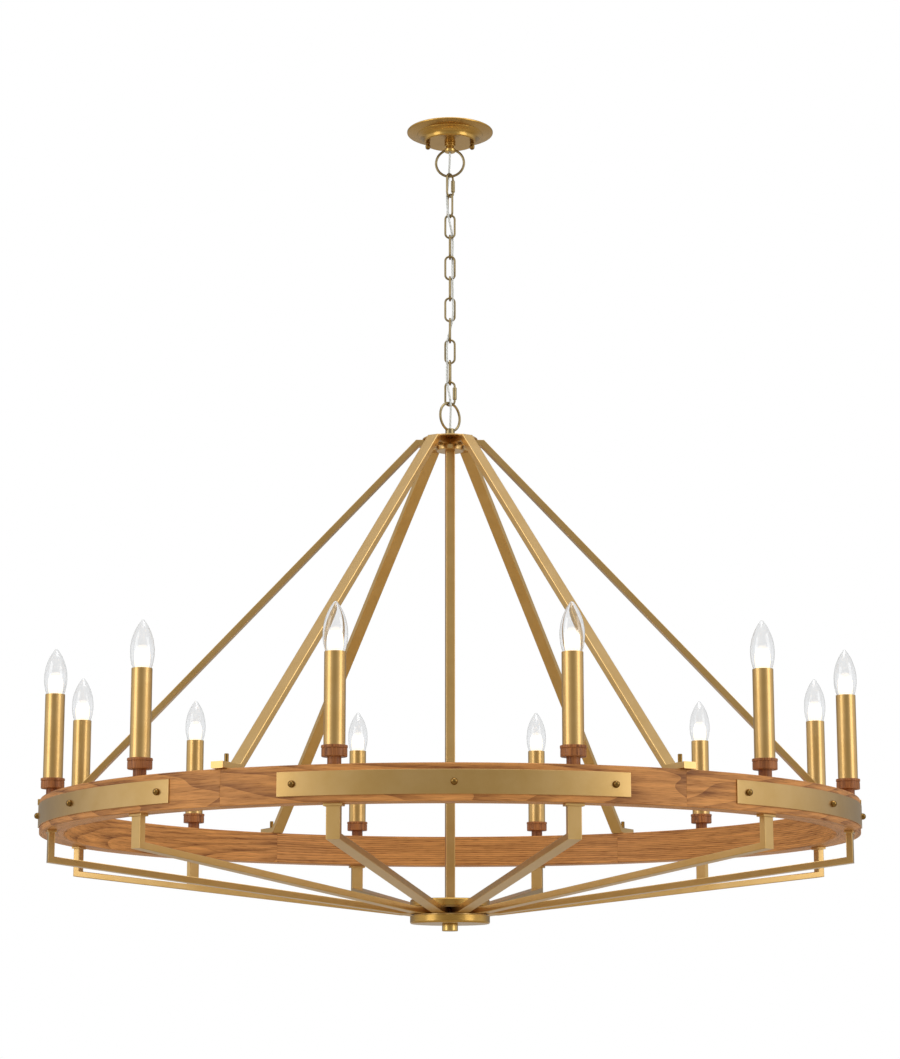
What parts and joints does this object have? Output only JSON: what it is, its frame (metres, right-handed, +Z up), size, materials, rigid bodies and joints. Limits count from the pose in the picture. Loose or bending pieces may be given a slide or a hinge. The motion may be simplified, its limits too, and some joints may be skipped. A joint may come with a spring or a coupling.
{
  "type": "chandelier",
  "caption": "Wagon wheel chandelier: an oak ring with candle lamps, hung by sloping flat brass tubes from a hub, a link chain and a round ceiling canopy.",
  "frame": {"origin": "middle of the crossbar's top face, on the ceiling", "axes": "+Z up into the ceiling, +X along the crossbar, -Y towards the picture's viewer"},
  "size_m": [1.276, 1.275, 1.293],
  "materials": {
    "satin_brass": "brushed and lacquered",
    "zinc_steel": "zinc plated",
    "clear_cord": "clear jacket over tinned strands",
    "oak_ring": "stained open grain, matt lacquer",
    "oak_turned": "stained and turned",
    "socket_moulding": "moulded phenolic",
    "clear_glass": "clear blown glass"
  },
  "bodies": {
    "ceiling": {"ceiling_crossbar": "zinc_steel", "canopy_studs": "zinc_steel", "canopy_nipple": "zinc_steel", "canopy": "satin_brass", "canopy_knobs": "satin_brass", "screw_collar": "satin_brass", "canopy_loop": "satin_brass", "supply_cord": "clear_cord"},
    "link_01": {"chain_link_01": "satin_brass"},
    "link_02": {"chain_link_02": "satin_brass"},
    "link_03": {"chain_link_03": "satin_brass"},
    "link_04": {"chain_link_04": "satin_brass"},
    "link_05": {"chain_link_05": "satin_brass"},
    "link_06": {"chain_link_06": "satin_brass"},
    "link_07": {"chain_link_07": "satin_brass"},
    "link_08": {"chain_link_08": "satin_brass"},
    "link_09": {"chain_link_09": "satin_brass"},
    "link_10": {"chain_link_10": "satin_brass"},
    "link_11": {"chain_link_11": "satin_brass"},
    "fixture": {"hub_loop": "satin_brass", "hub_loop_nut": "satin_brass", "hub_top_plate": "satin_brass", "hub_drum": "satin_brass", "upper_arm_1": "satin_brass", "upper_arm_2": "satin_brass", "upper_arm_3": "satin_brass", "upper_arm_4": "satin_brass", "upper_arm_5": "satin_brass", "upper_arm_6": "satin_brass", "arm_bolts": "satin_brass", "centre_rod": "satin_brass", "ring_segment_1": "oak_ring", "ring_segment_2": "oak_ring", "ring_segment_3": "oak_ring", "ring_segment_4": "oak_ring", "ring_segment_5": "oak_ring", "ring_segment_6": "oak_ring", "band_plates": "satin_brass", "plate_screws": "satin_brass", "candle_cups": "oak_turned", "candle_sleeves": "satin_brass", "candle_posts": "zinc_steel", "lamp_sockets": "socket_moulding", "bulbs": "clear_glass", "lower_arm_01": "satin_brass", "lower_arm_02": "satin_brass", "lower_arm_03": "satin_brass", "lower_arm_04": "satin_brass", "lower_arm_05": "satin_brass", "lower_arm_06": "satin_brass", "lower_arm_07": "satin_brass", "lower_arm_08": "satin_brass", "lower_arm_09": "satin_brass", "lower_arm_10": "satin_brass", "lower_arm_11": "satin_brass", "lower_arm_12": "satin_brass", "lower_hub_top_pan": "satin_brass", "lower_hub_bottom_pan": "satin_brass", "hub_spool": "satin_brass", "finial": "satin_brass"}
  },
  "joints": [
    {"name": "link_01_swing", "type": "hinge", "parent": "ceiling", "child": "link_01", "pos_m": [0, 0, -0.07715], "axis": [0.9945, -0.1045, 0], "range_deg": [-8, 8], "deforming": ["supply_cord"]},
    {"name": "link_02_swing", "type": "hinge", "parent": "link_01", "child": "link_02", "pos_m": [0, 0, -0.11176], "axis": [0.6428, 0.766, 0], "range_deg": [-8, 8]},
    {"name": "link_03_swing", "type": "hinge", "parent": "link_02", "child": "link_03", "pos_m": [0, 0, -0.14667], "axis": [-0.4848, 0.8746, 0], "range_deg": [-8, 8]},
    {"name": "link_04_swing", "type": "hinge", "parent": "link_03", "child": "link_04", "pos_m": [0, 0, -0.18158], "axis": [0.9994, 0.0349, 0], "range_deg": [-8, 8]},
    {"name": "link_05_swing", "type": "hinge", "parent": "link_04", "child": "link_05", "pos_m": [0, 0, -0.21649], "axis": [0.0523, 0.9986, 0], "range_deg": [-8, 8]},
    {"name": "link_06_swing", "type": "hinge", "parent": "link_05", "child": "link_06", "pos_m": [0, 0, -0.2514], "axis": [1, 0, 0], "range_deg": [-8, 8]},
    {"name": "link_07_swing", "type": "hinge", "parent": "link_06", "child": "link_07", "pos_m": [0, 0, -0.28631], "axis": [0.0523, 0.9986, 0], "range_deg": [-8, 8]},
    {"name": "link_08_swing", "type": "hinge", "parent": "link_07", "child": "link_08", "pos_m": [0, 0, -0.32122], "axis": [1, 0, 0], "range_deg": [-8, 8]},
    {"name": "link_09_swing", "type": "hinge", "parent": "link_08", "child": "link_09", "pos_m": [0, 0, -0.35613], "axis": [0.0349, 0.9994, 0], "range_deg": [-8, 8]},
    {"name": "link_10_swing", "type": "hinge", "parent": "link_09", "child": "link_10", "pos_m": [0, 0, -0.39104], "axis": [1, 0, 0], "range_deg": [-8, 8]},
    {"name": "link_11_swing", "type": "hinge", "parent": "link_10", "child": "link_11", "pos_m": [0, 0, -0.42595], "axis": [0.1045, 0.9945, 0], "range_deg": [-8, 8]},
    {"name": "fixture_swing", "type": "hinge", "parent": "link_11", "child": "fixture", "pos_m": [0, 0, -0.46086], "axis": [0.9903, -0.1392, 0], "range_deg": [-8, 8]}
  ]
}
